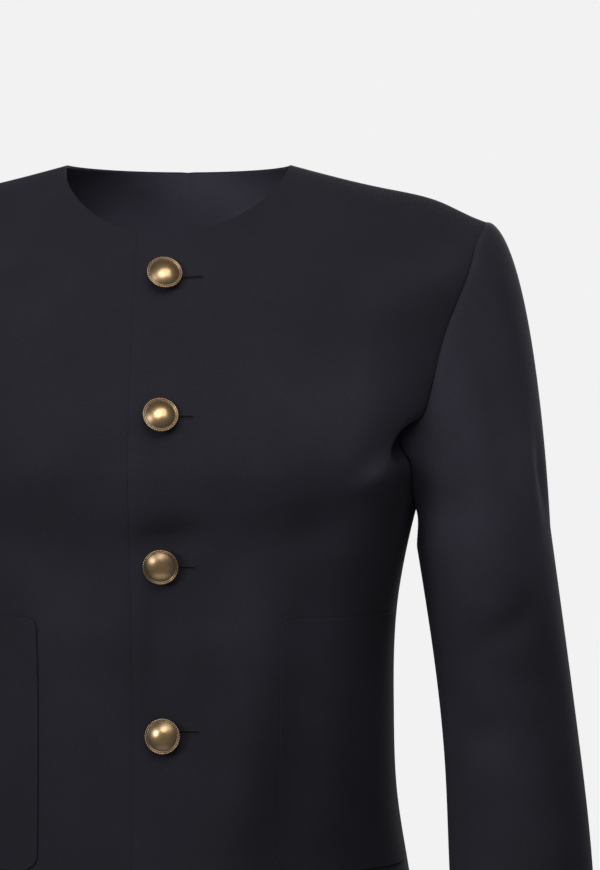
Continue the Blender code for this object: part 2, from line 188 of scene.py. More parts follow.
class Spline:
    """Natural cubic splines through the columns of a table, by its station."""

    def __init__(self, rows: Sequence[TorsoSection | ArmSection], columns: Sequence[str]) -> None:
        """Solves the splines.

        Args:
            rows: The table, in the order of its stations.
            columns: The names of the columns to run through.
        """
        self.knots = np.array([row.station for row in rows])
        self.values = np.array([[getattr(row, column) for column in columns] for row in rows])
        steps = np.diff(self.knots)
        slopes = np.diff(self.values, axis=0) / steps[:, None]
        system = np.eye(len(rows))
        right = np.zeros_like(self.values)
        for i in range(1, len(rows) - 1):
            system[i, i - 1 : i + 2] = steps[i - 1], 2 * (steps[i - 1] + steps[i]), steps[i]
            right[i] = 6 * (slopes[i] - slopes[i - 1])
        self.bends = np.linalg.solve(system, right)

    def at(self, station: Array | float) -> Array:
        """The columns at a station.

        Args:
            station: One or more stations.

        Returns:
            One row for each column, each of the station's own shape.
        """
        station = np.asarray(station, float)
        i = np.clip(np.searchsorted(self.knots, station, side="right") - 1, 0, len(self.knots) - 2)
        step = self.knots[i + 1] - self.knots[i]
        low = ((self.knots[i + 1] - station) / step)[..., None]
        high = 1 - low
        bend = (low**3 - low) * self.bends[i] + (high**3 - high) * self.bends[i + 1]
        found = low * self.values[i] + high * self.values[i + 1]
        return np.moveaxis(found + bend * (step**2 / 6)[..., None], -1, 0)


TORSO_SECTIONS = (
    TorsoSection("hem", 0.00, -0.500, -0.502, -0.500, 0.1515, 0.109, 0.106, 2.30, 1.50),
    TorsoSection("high_hip", 0.30, -0.440, -0.441, -0.440, 0.1445, 0.104, 0.098, 2.30, 1.50),
    TorsoSection("below_waist", 0.48, -0.392, -0.392, -0.392, 0.1372, 0.100, 0.089, 2.30, 1.50),
    TorsoSection("waist", 0.66, -0.338, -0.338, -0.338, 0.1352, 0.098, 0.083, 2.30, 1.50),
    TorsoSection("ribs", 0.82, -0.278, -0.278, -0.278, 0.1370, 0.104, 0.088, 2.30, 1.50),
    TorsoSection("underarm", 1.00, -0.215, -0.215, -0.215, 0.1490, 0.117, 0.097, 2.35, 1.50),
    TorsoSection("low_armhole", 1.25, -0.176, -0.182, -0.180, 0.1640, 0.1215, 0.102, 2.35, 1.50),
    TorsoSection("mid_armhole", 1.50, -0.130, -0.155, -0.148, 0.1850, 0.117, 0.104, 2.25, 1.50),
    TorsoSection("high_armhole", 1.78, -0.074, -0.124, -0.108, 0.2010, 0.107, 0.101, 2.10, 1.45),
    TorsoSection("shoulder_cap", 1.93, -0.0405, -0.105, -0.084, 0.2020, 0.100, 0.0955, 2.05, 1.40),
    TorsoSection("shoulder_point", 2.00, -0.0355, -0.097, -0.075, 0.1926, 0.097, 0.0925, 2.0, 1.40),
    TorsoSection("outer_shoulder", 2.22, -0.0232, -0.085, -0.056, 0.1650, 0.0915, 0.085, 2.0, 1.35),
    TorsoSection("mid_shoulder", 2.50, -0.0147, -0.069, -0.034, 0.1310, 0.085, 0.075, 2.00, 1.30),
    TorsoSection("neckline", 3.00, 0.0, -0.0437, -0.0038, 0.0703, 0.0725, 0.056, 2.00, 1.25),
)

UNDERARM = 1.0
SHOULDER_POINT = 2.0
NECKLINE = 3.0

ARM_SECTIONS = (
    ArmSection("biceps", 0.00, 0.1914, 0.002, -0.232, 0.0420, 0.060),
    ArmSection("above_elbow", 0.20, 0.2007, 0.006, -0.297, 0.0415, 0.0575),
    ArmSection("elbow", 0.42, 0.2095, 0.005, -0.370, 0.0425, 0.054),
    ArmSection("forearm", 0.66, 0.2165, -0.010, -0.455, 0.0447, 0.050),
    ArmSection("low_forearm", 0.85, 0.2220, -0.027, -0.545, 0.0430, 0.0465),
    ArmSection("cuff", 1.00, 0.2265, -0.042, -0.625, 0.0410, 0.0440),
)

TORSO_CREASES = (
    Crease("left_armpit", (0.155, -0.062, -0.1722), (-0.9, -0.3, -0.10), 0.0215, 0.0120, 0.015, 3.2),
    Crease("left_armhole_pull", (0.152, -0.055, -0.206), (0.1, 0.3, -1.0), 0.022, 0.0085, 0.0055),
    Crease("left_armpit_roll", (0.134, -0.086, -0.191), (-0.75, -0.2, -0.3), 0.016, 0.009, -0.0055),
    Crease("left_bust_side", (0.126, -0.098, -0.160), (0.15, 0.0, 1.0), 0.034, 0.020, -0.0040),
    Crease("right_armpit", (-0.154, -0.062, -0.177), (0.85, -0.3, -0.2), 0.0195, 0.010, 0.011, 3.0),
    Crease("right_armhole_pull", (-0.152, -0.055, -0.21), (-0.1, 0.3, -1.0), 0.020, 0.009, 0.0070),
    Crease("right_armpit_roll", (-0.135, -0.086, -0.198), (0.7, -0.2, -0.4), 0.018, 0.010, -0.0042),
    Crease("left_under_bust", (0.100, -0.100, -0.226), (0.95, 0.2, 0.10), 0.058, 0.019, 0.0050),
    Crease("right_under_bust", (-0.094, -0.104, -0.230), (0.95, 0.0, -0.12), 0.05, 0.020, 0.0038),
    Crease("left_back_armpit", (0.140, 0.078, -0.185), (-0.6, 0.1, -0.4), 0.026, 0.013, 0.0030),
    Crease("right_back_armpit", (-0.141, 0.078, -0.178), (0.55, 0.1, -0.5), 0.024, 0.013, 0.0034),
    Crease("left_back_waist", (0.090, 0.078, -0.345), (0.9, 0.1, -0.15), 0.050, 0.016, 0.0022),
    Crease("right_back_waist", (-0.082, 0.080, -0.352), (0.9, 0.1, 0.20), 0.046, 0.017, 0.0024),
    Crease("over_button_3", (0.006, -0.118, -0.229), (1.0, 0.0, 0.08), 0.022, 0.0095, 0.0058),
    Crease("right_of_button_3", (-0.012, -0.115, -0.240), (0.1, 0.0, 1.0), 0.014, 0.009, 0.0010),
    Crease("placket", (-0.003, -0.100, -0.302), (0.04, 0.0, 1.0), 0.046, 0.0085, 0.0018),
    Crease("left_midriff_ridge", (0.050, -0.108, -0.292), (1.0, 0.0, 0.06), 0.034, 0.022, -0.0032),
    Crease("right_midriff_ridge", (-0.050, -0.108, -0.29), (1.0, 0.0, -0.05), 0.04, 0.021, -0.003),
    Crease("left_hang_ridge", (0.054, -0.100, -0.355), (0.146, 0.0, 0.989), 0.090, 0.020, -0.0064),
    Crease("left_hang_hollow", (0.089, -0.095, -0.360), (0.15, 0.0, 0.989), 0.085, 0.020, 0.0046),
    Crease("right_hang_ridge", (-0.058, -0.100, -0.390), (-0.1, 0.0, 0.99), 0.070, 0.024, -0.0030),
    Crease("right_hang_hollow", (-0.098, -0.095, -0.37), (-0.16, 0.0, 0.98), 0.07, 0.020, 0.0022),
    Crease("left_chest", (0.110, -0.098, -0.128), (0.55, 0.0, 0.80), 0.040, 0.018, 0.0010),
    Crease("right_chest", (-0.108, -0.098, -0.132), (-0.5, 0.0, 0.85), 0.042, 0.019, 0.0010),
    Crease("left_blade", (0.085, 0.100, -0.185), (0.3, 0.0, 0.95), 0.060, 0.028, 0.0012),
    Crease("right_blade", (-0.090, 0.100, -0.175), (-0.36, 0.0, 0.95), 0.055, 0.026, 0.0013),
    Crease("back_waist_low", (0.030, 0.090, -0.392), (0.95, 0.0, 0.12), 0.050, 0.014, 0.0010),
)

SLEEVE_CREASES = (
    Crease("inner_elbow", (0.190, -0.047, -0.352), (0.8, 0.3, 0.30), 0.032, 0.012, 0.0030),
    Crease("elbow_above", (0.214, -0.050, -0.318), (0.8, 0.3, -0.25), 0.030, 0.011, 0.0022),
    Crease("elbow_below", (0.203, -0.055, -0.398), (0.85, 0.3, -0.20), 0.032, 0.013, 0.0022),
    Crease("under_head", (0.176, -0.060, -0.222), (0.3, -0.2, 0.85), 0.030, 0.012, 0.0026),
    Crease("elbow_point", (0.215, 0.058, -0.372), (0.7, 0.0, 0.30), 0.030, 0.012, 0.0022),
    Crease("outer_elbow_low", (0.236, 0.030, -0.410), (0.2, 0.8, -0.25), 0.024, 0.010, 0.0014),
    Crease("back_upper", (0.190, 0.058, -0.265), (0.75, 0.0, -0.35), 0.028, 0.012, 0.0018),
    Crease("forearm_drag", (0.206, -0.066, -0.470), (0.35, 0.1, 0.9), 0.040, 0.012, 0.0012),
    Crease("front_elbow", (0.205, -0.052, -0.289), (0.86, 0.2, 0.46), 0.034, 0.011, 0.0036),
    Crease("outer_upper", (0.232, -0.020, -0.192), (0.10, 0.15, -0.98), 0.024, 0.008, 0.0030),
    Crease("front_upper_ridge", (0.190, -0.058, -0.150), (0.16, 0.0, -0.98), 0.055, 0.014, -0.0016),
)

# Painted light and shade: each patch lightens or darkens the cloth's colour where the lamps give too
# little light or cast too little shade, such as at the bust, under the bust, at the armpit, the hips
# and along the sleeve.
PAINTED_LIGHT_PATCHES = (
    PaintedLightPatch("left_bust", (0.120, -0.095, -0.166), 0.040, 1.58),
    PaintedLightPatch("left_under_bust", (0.107, -0.100, -0.222), 0.028, 1.28),
    PaintedLightPatch("left_waist", (0.108, -0.090, -0.285), 0.034, 1.22),
    PaintedLightPatch("left_midriff", (0.052, -0.105, -0.275), 0.044, 1.32),
    PaintedLightPatch("left_chest", (0.050, -0.110, -0.170), 0.045, 1.10),
    PaintedLightPatch("left_shoulder", (0.130, -0.060, -0.050), 0.060, 0.90),
    PaintedLightPatch("right_chest", (-0.050, -0.110, -0.210), 0.060, 1.10),
    PaintedLightPatch("left_hang", (0.046, -0.105, -0.425), 0.040, 0.86),
    PaintedLightPatch("left_hip", (0.110, -0.090, -0.400), 0.058, 0.64),
    PaintedLightPatch("left_side", (0.136, -0.040, -0.290), 0.040, 0.64),
    PaintedLightPatch("left_roll", (0.137, -0.084, -0.188), 0.014, 1.90),
    PaintedLightPatch("left_armhole_low", (0.148, -0.058, -0.210), 0.019, 0.45),
    PaintedLightPatch("over_button_3", (0.003, -0.118, -0.228), 0.017, 0.78),
    PaintedLightPatch("placket", (-0.003, -0.100, -0.325), 0.022, 0.86),
    PaintedLightPatch("right_low", (-0.060, -0.100, -0.440), 0.046, 0.86),
    PaintedLightPatch("right_midriff", (-0.050, -0.105, -0.290), 0.046, 1.13),
    PaintedLightPatch("right_hip", (-0.112, -0.090, -0.410), 0.050, 0.84),
    PaintedLightPatch("back_middle", (0.030, 0.100, -0.230), 0.080, 1.08),
    PaintedLightPatch("back_low", (-0.060, 0.095, -0.420), 0.060, 0.92),
    PaintedLightPatch("sleeve_head", (0.212, -0.020, -0.110), 0.060, 1.26),
    PaintedLightPatch("sleeve_outside", (0.236, -0.020, -0.192), 0.056, 1.82),
    PaintedLightPatch("sleeve_under_head", (0.163, -0.046, -0.216), 0.016, 1.50),
    PaintedLightPatch("sleeve_middle", (0.205, -0.050, -0.300), 0.050, 0.88),
    PaintedLightPatch("forearm", (0.222, -0.030, -0.480), 0.115, 0.72),
)


@dataclass
class TorsoForm:
    """The smooth outside of the torso, and where its pieces are cut."""

    lap: float = 0.0170
    lap_lift: float = 0.0012
    lap_fade: float = 0.045
    bust_out: float = 0.0075
    bust_x: float = 0.088
    bust_z: float = -0.178
    bust_spread_x: float = 0.050
    bust_spread_z: float = 0.050
    armhole_front: float = 0.0640
    armhole_back: float = 0.058
    armhole_roundness: float = 0.36
    armhole_low_roundness: float = 0.42
    side_seam_back: float = 0.018
    seam_lap: float = 0.0002
    columns: Spline = field(
        default_factory=lambda: Spline(
            TORSO_SECTIONS,
            (
                "side_z",
                "front_z",
                "back_z",
                "half_width",
                "front_depth",
                "back_depth",
                "squareness",
                "level_power",
            ),
        )
    )

    def point(self, angle: Array, station: Array) -> Array:
        """Points of the outside.

        Args:
            angle: 0 at the centre front and 90 degrees at the wearer's left side, in radians.
            station: 0 at the hem, 1 at the underarm, 2 at the shoulder point, 3 at the neckline.

        Returns:
            The points, in a last axis of three.
        """
        columns = self.columns.at(station)
        side_z, front_z, back_z, half_width, front_depth, back_depth, square, power = columns
        cosine, sine = np.cos(angle), np.sin(angle)
        reach = (np.abs(cosine) ** square + np.abs(sine) ** square) ** (-1 / square)
        across, along = reach * sine, reach * cosine
        is_front = along > 0
        level = np.where(is_front, front_z, back_z)
        x = half_width * across
        y = -np.where(is_front, front_depth, back_depth) * along
        z = side_z + (level - side_z) * np.abs(along) ** power
        bust = bell((np.abs(x) - self.bust_x) / self.bust_spread_x)
        bust = bust * bell((z - self.bust_z) / self.bust_spread_z)
        y = y - self.bust_out * bust * np.where(is_front, along, 0.0)
        return np.stack([x, y, z], axis=-1)

    def normal(self, angle: Array, station: Array) -> Array:
        """Outward normals.

        Args:
            angle: As for point.
            station: As for point.

        Returns:
            The normals, in a last axis of three.
        """
        step = 1e-4
        round_it = self.point(angle + step, station) - self.point(angle - step, station)
        up_it = self.point(angle, station + step) - self.point(angle, station - step)
        return unit(np.cross(round_it, up_it))

    def angle_at_x(self, x: Array | float, station: Array) -> Array:
        """The angle at which the front of a section reaches a place across.

        Args:
            x: The place, in metres from the centre.
            station: The section.

        Returns:
            The angle, in radians.
        """
        half_width, square = self.columns.at(station)[[3, 6]]
        share = x / half_width
        rest = (1 - np.abs(share) ** square) ** (1 / square)
        return np.arctan2(share, rest)

    def angle_at_y(self, y: Array | float, station: Array) -> Array:
        """The angle at which a section is this far behind the shoulder line, on the left.

        Args:
            y: The distance behind it, negative before it.
            station: The section.

        Returns:
            The angle, in radians.
        """
        front_depth, back_depth, square = self.columns.at(station)[[4, 5, 6]]
        share = -y / np.where(np.asarray(y) > 0, back_depth, front_depth)
        rest = (1 - np.abs(share) ** square) ** (1 / square)
        return np.arctan2(rest, share)

    def seam_y(self, station: Array, at_back: bool) -> Array:
        """Where a front or back ends: at the side seam, the armhole or the shoulder seam.

        Args:
            station: The section.
            at_back: Whether it is the back's edge.

        Returns:
            The distance behind the shoulder line, negative before it.
        """
        share = np.clip(station - UNDERARM, 0.0, 1.0)
        chord = np.maximum(4 * share * (1 - share), 0.0)
        side = self.side_seam_back * (1 - np.minimum(station / UNDERARM, 1.0) ** 3)
        if at_back:
            return side + self.armhole_back * chord**self.armhole_roundness - self.seam_lap
        roundness = np.where(share < 0.5, self.armhole_low_roundness, self.armhole_roundness)
        return side - self.armhole_front * chord**roundness + self.seam_lap

    def station_at_height(self, z: float) -> float:
        """The station whose section lies this high at the side."""
        stations = np.linspace(0.0, SHOULDER_POINT, 401)
        return float(np.interp(z, self.columns.at(stations)[0], stations))

    def outer_station(self, station: Array) -> Array:
        """The station at a panel's outer edge.

        Args:
            station: The one at the panel's centre.

        Returns:
            The one at its outer edge, whose steps are even round the armhole's curve.
        """
        turn = (1 - np.cos(math.pi * (station - UNDERARM))) / 2
        at_armhole = (station > UNDERARM) & (station < SHOULDER_POINT)
        return np.where(at_armhole, UNDERARM + turn, station)

    def lap_shift(self, x: Array, layer: Layer) -> Array:
        """How far the fronts part where they lap, outward for the upper one."""
        inside = 1 - fade((np.abs(x) - self.lap) / self.lap_fade)
        return inside * self.lap_lift * layer.value

    def on_front(self, x: float, z: float, lift: float) -> tuple[Array, Array]:
        """A place on the upper front.

        Args:
            x: Across, near the centre.
            z: Height.
            lift: Distance above the cloth.

        Returns:
            The point and the normal there.
        """
        stations = np.linspace(0.0, NECKLINE, 1501)
        heights = self.point(np.zeros_like(stations), stations)[:, 2]
        station = np.array(np.interp(z, heights, stations))
        angle = self.angle_at_x(x, station)
        normal = self.normal(angle, station)
        point = self.point(angle, station) + normal * (self.lap_lift + lift)
        return pressed(point, normal, TORSO_CREASES), normal


@dataclass
class SleeveForm:
    """The smooth outside of the left sleeve, from the armhole seam to the cuff."""

    torso: TorsoForm
    reach_top: float = 0.066
    reach_side: float = 0.036
    reach_under: float = 0.018
    drop_top: float = 0.262
    drop_side: float = 0.120
    drop_under: float = 0.022
    drop_lean: float = 0.35
    fold_reach: float = 0.0075
    turn_top: float = math.radians(15.0)
    turn_under: float = math.radians(122.0)
    head_share: float = 0.40
    head_crowding: float = 1.25
    columns: Spline = field(
        default_factory=lambda: Spline(
            ARM_SECTIONS, ("x", "y", "z", "half_breadth", "half_depth")
        )
    )

    def seam(self, turns: Array) -> tuple[Array, Array, Array, Array]:
        """The armhole's edge.

        Args:
            turns: 0 at the shoulder point, then down the front and up the back, in radians.

        Returns:
            Points, the shifts of the torso's creases there, the torso's normals, and the
            directions out of the torso's panels.
        """
        wrapped = np.mod(turns, 2 * math.pi)
        station = UNDERARM + (1 + np.cos(wrapped)) / 2
        front = self.torso.angle_at_y(self.torso.seam_y(station, False), station)
        back = self.torso.angle_at_y(self.torso.seam_y(station, True), station)
        angle = np.where(wrapped <= math.pi, front, back)
        points = self.torso.point(angle, station)
        normals = self.torso.normal(angle, station)
        shifts = pressed(points, normals, TORSO_CREASES) - points
        ahead = np.roll(points, -1, axis=0) - np.roll(points, 1, axis=0)
        return points, shifts, normals, unit(np.cross(normals, ahead))

    def ring(self, station: float, turns: Array) -> tuple[Array, Array]:
        """One ring below the armhole.

        Args:
            station: 0 at the biceps and 1 at the cuff.
            turns: 0 at the outside, then round by the front, in radians.

        Returns:
            The ring's points and the direction down the arm.
        """
        x, y, z, half_breadth, half_depth = self.columns.at(station)
        step = 1e-3
        ahead = self.columns.at(station + step)[:3] - self.columns.at(station - step)[:3]
        down = ahead / np.linalg.norm(ahead)
        outward = unit(np.array([1.0, 0.0, 0.0]) - down[0] * down)
        forward = np.cross(outward, down)
        forward *= -np.sign(forward[1])
        across = half_breadth * np.cos(turns)[:, None] * outward
        along = half_depth * np.sin(turns)[:, None] * forward
        return np.array([x, y, z]) + across + along, down

    def rings(self, around: int, head: int, arm: int) -> Array:
        """The whole sleeve, as rings of points.

        Args:
            around: Points in each ring.
            head: Steps from the armhole seam to the biceps.
            arm: Steps from the biceps to the cuff.

        Returns:
            Points in rings from the seam to the cuff.
        """
        turns = np.linspace(0.0, 2 * math.pi, around, endpoint=False)
        edge, shifts, normals, out = self.seam(turns)
        under = ((1 - np.cos(turns)) / 2)[:, None]
        sides = (np.sin(turns) ** 2)[:, None]
        turn = self.turn_top + (self.turn_under - self.turn_top) * under
        start = edge - self.torso.seam_lap * out
        end, down = self.ring(0.0, turns)
        reach = self.reach_top * (1 - under) + self.reach_under * under
        reach = reach * (1 - sides) + self.reach_side * sides
        drop = self.drop_top * (1 - under) + self.drop_under * under
        drop = drop * (1 - sides) + self.drop_side * sides
        leave = (np.cos(turn) * out + np.sin(turn) * normals) * reach
        arrive = unit(down * np.array([self.drop_lean, 1.0, 1.0])) * drop
        made = []
        for share in np.linspace(0.0, 1.0, head + 1) ** self.head_crowding:
            made.append(
                (2 * share**3 - 3 * share**2 + 1) * start
                + (share**3 - 2 * share**2 + share) * leave
                + (3 * share**2 - 2 * share**3) * end
                + (share**3 - share**2) * arrive
            )
        for station in np.linspace(0.0, 1.0, arm + 1)[1:]:
            made.append(self.ring(station, turns)[0])
        rings = np.array(made)
        from_seam = np.linalg.norm(rings - rings[:1], axis=-1, keepdims=True)
        return rings + shifts * bell(from_seam / self.fold_reach)


class Shading:
    """The nodes of one material."""

    def __init__(self, name: str) -> None:
        """Starts the material.

        Args:
            name: The material's name.
        """
        self.material = bpy.data.materials.new(name)
        self.material.use_nodes = True
        self.tree = self.material.node_tree
        self.shader = self.tree.nodes["Principled BSDF"]

    def node(self, kind: str, **settings: str | bool) -> bpy.types.Node:
        """Adds a node.

        Args:
            kind: The node's type.
            settings: Its properties.

        Returns:
            The node.
        """
        made = self.tree.nodes.new(kind)
        for key, value in settings.items():
            setattr(made, key, value)
        return made

    def fill(self, socket: bpy.types.NodeSocket, value: Feed) -> None:
        """Gives a socket its value.

        Args:
            socket: The input.
            value: A plain value, or another node's output to link.
        """
        if isinstance(value, bpy.types.NodeSocket):
            self.tree.links.new(value, socket)
        else:
            socket.default_value = value

    def surface(self, **values: Feed) -> bpy.types.Material:
        """Fills the shader's own inputs.

        Args:
            values: One for each input, named with low lines for spaces.

        Returns:
            The finished material.
        """
        for key, value in values.items():
            self.fill(self.shader.inputs[key.replace("_", " ")], value)
        return self.material

    def place(self) -> bpy.types.NodeSocket:
        """Where a point lies on the object, in metres."""
        return self.node("ShaderNodeTexCoord").outputs["Object"]

    def painted(self, name: str) -> bpy.types.NodeSocket:
        """A number kept at the mesh's points."""
        return self.node("ShaderNodeAttribute", attribute_name=name).outputs["Fac"]

    def noise(self, scale: float, detail: float = 2.0, rough: float = 0.5) -> bpy.types.NodeSocket:
        """Cloudy noise over the object.

        Args:
            scale: Clouds to the metre.
            detail: How many finer layers are added.
            rough: How strong the finer layers are.

        Returns:
            A value from 0 to 1.
        """
        made = self.node("ShaderNodeTexNoise")
        self.fill(made.inputs["Vector"], self.place())
        self.fill(made.inputs["Scale"], scale)
        self.fill(made.inputs["Detail"], detail)
        self.fill(made.inputs["Roughness"], rough)
        return made.outputs["Fac"]

    def ranged(self, value: Feed, start: Pair, end: Pair = (0.0, 1.0)) -> bpy.types.NodeSocket:
        """Maps one range onto another.

        Args:
            value: What is mapped.
            start: The range that it comes from.
            end: The range that it is spread over.

        Returns:
            The mapped value.
        """
        made = self.node("ShaderNodeMapRange")
        self.fill(made.inputs["Value"], value)
        self.fill(made.inputs["From Min"], start[0])
        self.fill(made.inputs["From Max"], start[1])
        self.fill(made.inputs["To Min"], end[0])
        self.fill(made.inputs["To Max"], end[1])
        return made.outputs["Result"]

    def mixed(
        self, share: Feed, low: Feed, high: Feed, blend: str = "MIX"
    ) -> bpy.types.NodeSocket:
        """Mixes two colours.

        Args:
            share: How much of the second colour is taken.
            low: The first colour.
            high: The second colour.
            blend: How they are joined.

        Returns:
            The mixed colour.
        """
        made = self.node("ShaderNodeMix", data_type="RGBA", blend_type=blend)
        for socket, value in zip((made.inputs[0], made.inputs[6], made.inputs[7]), (share, low, high)):
            self.fill(socket, value)
        return made.outputs[2]

    def bump(
        self, height: Feed, strength: float, depth: float, over: bpy.types.NodeSocket | None = None
    ) -> bpy.types.NodeSocket:
        """A bumped normal.

        Args:
            height: How high each point stands.
            strength: How strongly it shows.
            depth: The height in metres at 1.
            over: A normal that is bumped already.

        Returns:
            The normal.
        """
        made = self.node("ShaderNodeBump")
        self.fill(made.inputs["Height"], height)
        self.fill(made.inputs["Strength"], strength)
        self.fill(made.inputs["Distance"], depth)
        if over is not None:
            self.fill(made.inputs["Normal"], over)
        return made.outputs["Normal"]


@dataclass(frozen=True)
class WoolCloth:
    """Fine dark wool, pressed, with a short nap over a close twill."""

    name: str = "navy_wool"
    # A gain above 1 paints light: a lighter copy of the same wool.
    gain: float = 1.0
    colour: Triple = (0.0198, 0.0187, 0.0274)
    shade: Triple = (0.0166, 0.0157, 0.0224)
    fleck: Triple = (0.0300, 0.0290, 0.0380)
    patches_per_metre: float = 26.0
    patch_detail: float = 5.0
    patch_range: Pair = (0.35, 0.65)
    fibres_per_metre: float = 1500.0
    fibre_detail: float = 4.0
    fibre_roughness: float = 0.7
    fleck_range: Pair = (0.50, 0.80)
    roughness: float = 0.86
    gloss: float = 0.15
    sheen: float = 0.04
    sheen_roughness: float = 0.55
    sheen_colour: Triple = (0.55, 0.56, 0.68)
    twill_pitch: float = 0.0011
    twill_angle: float = math.radians(27.0)
    twill_waver: float = 1.2
    twill_height: float = 0.00006
    twill_strength: float = 0.5
    nap_height: float = 0.00012
    nap_strength: float = 0.7

    def shown(self, colour: Triple) -> tuple[float, float, float, float]:
        """A colour of the cloth, times the gain, which paints light onto the sleeves and the wrong
        side.
        """
        return (*(self.gain * part for part in colour), 1.0)

    def material(self) -> bpy.types.Material:
        """The material, made once."""
        return bpy.data.materials.get(self.name) or self.dress(Shading(self.name))

    def twill(self, shading: Shading) -> bpy.types.NodeSocket:
        """The slanting ribs of the weave.

        Args:
            shading: The material being made.

        Returns:
            Their height, from 0 to 1.
        """
        cloth = shading.node("ShaderNodeUVMap", uv_map="cloth")
        turned = shading.node("ShaderNodeMapping")
        shading.fill(turned.inputs["Vector"], cloth.outputs["UV"])
        shading.fill(turned.inputs["Rotation"], (0.0, 0.0, self.twill_angle))
        shading.fill(turned.inputs["Scale"], (1 / self.twill_pitch,) * 3)
        ribs = shading.node("ShaderNodeTexWave")
        shading.fill(ribs.inputs["Vector"], turned.outputs["Vector"])
        shading.fill(ribs.inputs["Scale"], ONE_WAVE)
        shading.fill(ribs.inputs["Distortion"], self.twill_waver)
        shading.fill(ribs.inputs["Detail"], 1.0)
        return ribs.outputs["Fac"]

    def dress(self, shading: Shading) -> bpy.types.Material:
        """Lays out the cloth.

        Args:
            shading: The material being made.

        Returns:
            The finished material.
        """
        clouds = shading.noise(self.patches_per_metre, self.patch_detail)
        patches = shading.ranged(clouds, self.patch_range)
        ground = shading.mixed(patches, self.shown(self.shade), self.shown(self.colour))
        fibres = shading.noise(self.fibres_per_metre, self.fibre_detail, self.fibre_roughness)
        specks = shading.ranged(fibres, self.fleck_range)
        flecked = shading.mixed(specks, ground, self.shown(self.fleck))
        ribs = shading.bump(self.twill(shading), self.twill_strength, self.twill_height)
        # The base colour is multiplied by the painted light and shade kept at the mesh's points.
        return shading.surface(
            Base_Color=shading.mixed(1.0, flecked, shading.painted("painted_light"), "MULTIPLY"),
            Normal=shading.bump(fibres, self.nap_strength, self.nap_height, ribs),
            Roughness=self.roughness,
            Specular_IOR_Level=self.gloss,
            Sheen_Weight=self.sheen,
            Sheen_Roughness=self.sheen_roughness,
            Sheen_Tint=(*self.sheen_colour, 1.0),
        )


@dataclass(frozen=True)
class AgedBrass:
    """Yellow metal, softly polished on its high places and darkened in its low ones."""

    name: str = "aged_brass"
    high: Triple = (0.66, 0.445, 0.23)
    low: Triple = (0.14, 0.115, 0.090)
    roughness: float = 0.27
    low_roughness: float = 0.47
    clouds_per_metre: float = 420.0
    cloud_detail: float = 4.0
    cloudiness: float = 0.22
    pit_depth: float = 0.00004
    pit_strength: float = 0.25

    def material(self) -> bpy.types.Material:
        """The material, made once."""
        return bpy.data.materials.get(self.name) or self.dress(Shading(self.name))

    def dress(self, shading: Shading) -> bpy.types.Material:
        """Lays out the metal.

        Args:
            shading: The material being made.

        Returns:
            The finished material.
        """
        clouds = shading.noise(self.clouds_per_metre, self.cloud_detail)
        clouded = shading.node("ShaderNodeMath", operation="MULTIPLY_ADD")
        shading.fill(clouded.inputs[0], clouds)
        shading.fill(clouded.inputs[1], self.cloudiness)
        shading.fill(clouded.inputs[2], shading.painted("wear"))
        polished = shading.node("ShaderNodeMath", operation="SUBTRACT", use_clamp=True)
        shading.fill(polished.inputs[0], clouded.outputs[0])
        shading.fill(polished.inputs[1], self.cloudiness / 2)
        worn = polished.outputs[0]
        return shading.surface(
            Base_Color=shading.mixed(worn, (*self.low, 1.0), (*self.high, 1.0)),
            Roughness=shading.ranged(worn, (0.0, 1.0), (self.low_roughness, self.roughness)),
            Normal=shading.bump(clouds, self.pit_strength, self.pit_depth),
            Metallic=1.0,
        )


@dataclass(frozen=True)
class SilkThread:
    """Twisted buttonhole thread, about as dark as the cloth."""

    name: str = "buttonhole_thread"
    colour: Triple = (0.018, 0.017, 0.024)
    roughness: float = 0.75
    sheen: float = 0.10
    gloss: float = 0.15
    strands_per_metre: float = 5200.0
    darkest: float = 0.6
    lightest: float = 1.3

    def material(self) -> bpy.types.Material:
        """The material, made once."""
        return bpy.data.materials.get(self.name) or self.dress(Shading(self.name))

    def dress(self, shading: Shading) -> bpy.types.Material:
        """Lays out the thread.

        Args:
            shading: The material being made.

        Returns:
            The finished material.
        """
        dark, light = (
            (*(gain * part for part in self.colour), 1.0) for gain in (self.darkest, self.lightest)
        )
        return shading.surface(
            Base_Color=shading.mixed(shading.noise(self.strands_per_metre), dark, light),
            Roughness=self.roughness,
            Specular_IOR_Level=self.gloss,
            Sheen_Weight=self.sheen,
        )


@dataclass(frozen=True)
class StudioPaint:
    """The plain pale finish of the studio's floor."""

    name: str = "studio_paint"
    colour: Triple = (0.86, 0.86, 0.86)
    roughness: float = 0.9

    def material(self) -> bpy.types.Material:
        """The material."""
        paint = Shading(self.name)
        return paint.surface(Base_Color=(*self.colour, 1.0), Roughness=self.roughness)


def placed(name: str, mesh: bmesh.types.BMesh, material: bpy.types.Material) -> bpy.types.Object:
    """Turns a mesh into a smooth, named object with its material.

    Args:
        name: The object's name.
        mesh: The mesh, which is freed.
        material: The finish.

    Returns:
        The object, linked to the scene.
    """
    data = bpy.data.meshes.new(name)
    mesh.to_mesh(data)
    mesh.free()
    data.shade_smooth()
    data.materials.append(material)
    item = bpy.data.objects.new(name, data)
    bpy.context.scene.collection.objects.link(item)
    return item


def report(item: bpy.types.Object) -> bpy.types.Object:
    """Logs a finished piece."""
    LOG.info("%s: %d faces", item.name, len(item.data.polygons))
    return item


